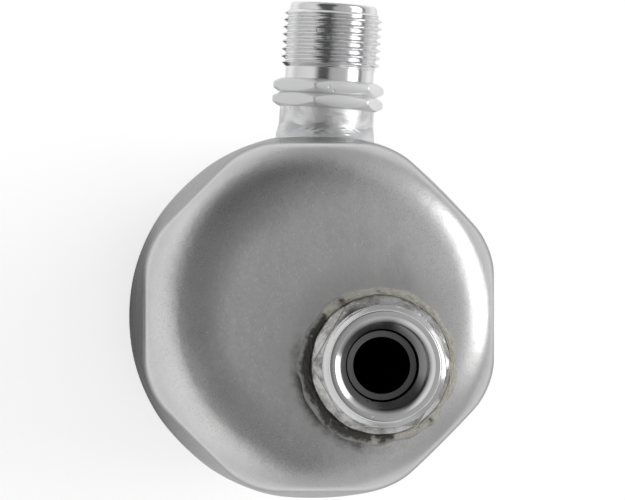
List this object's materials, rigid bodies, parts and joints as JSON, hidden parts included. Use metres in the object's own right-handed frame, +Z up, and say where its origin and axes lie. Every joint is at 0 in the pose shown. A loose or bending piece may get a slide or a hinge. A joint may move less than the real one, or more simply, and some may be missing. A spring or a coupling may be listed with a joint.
{
  "type": "suction line accumulator",
  "caption": "Sealed aluminium can with pressed flats round its closed end, a threaded outlet on the face, a threaded inlet on the side and a pickup tube inside.",
  "frame": {"origin": "centre of the flat base of the can, which stands with its port end up", "axes": "+Z up the can's axis towards the outlet port; the inlet port leaves the side along +Y, turned 3.9 degrees towards +X; the outlet lies towards +X and -Y of the axis"},
  "size_m": [0.071, 0.0962, 0.2162],
  "materials": {
    "shell_aluminium": "satin drawn aluminium with a fine speckle",
    "machined_aluminium": "bright turned aluminium",
    "braze_alloy": "matt, rough and sooty",
    "weld_alloy": "rippled bead",
    "tube_aluminium": "plain drawn tube",
    "moulded_nylon": "natural moulded nylon",
    "spring_steel": "plain strip",
    "screen_mesh": "fine woven mesh",
    "desiccant_felt": "stitched felt",
    "strap_nylon": "natural nylon strap"
  },
  "bodies": {
    "root": {"body_shell": "shell_aluminium", "bottom_cap": "shell_aluminium", "bottom_weld": "weld_alloy", "outlet_fitting": "machined_aluminium", "outlet_braze": "braze_alloy", "inlet_fitting": "machined_aluminium", "inlet_braze": "braze_alloy", "pickup_tube": "tube_aluminium", "tube_braze": "braze_alloy", "vapour_deflector": "moulded_nylon", "deflector_retainer": "spring_steel", "tube_spacer": "moulded_nylon", "filter_clip": "moulded_nylon", "filter_body": "moulded_nylon", "filter_screen": "screen_mesh", "desiccant_bag_front": "desiccant_felt", "desiccant_bag_rear": "desiccant_felt", "bag_tie_upper": "strap_nylon", "bag_tie_lower": "strap_nylon"}
  },
  "joints": []
}
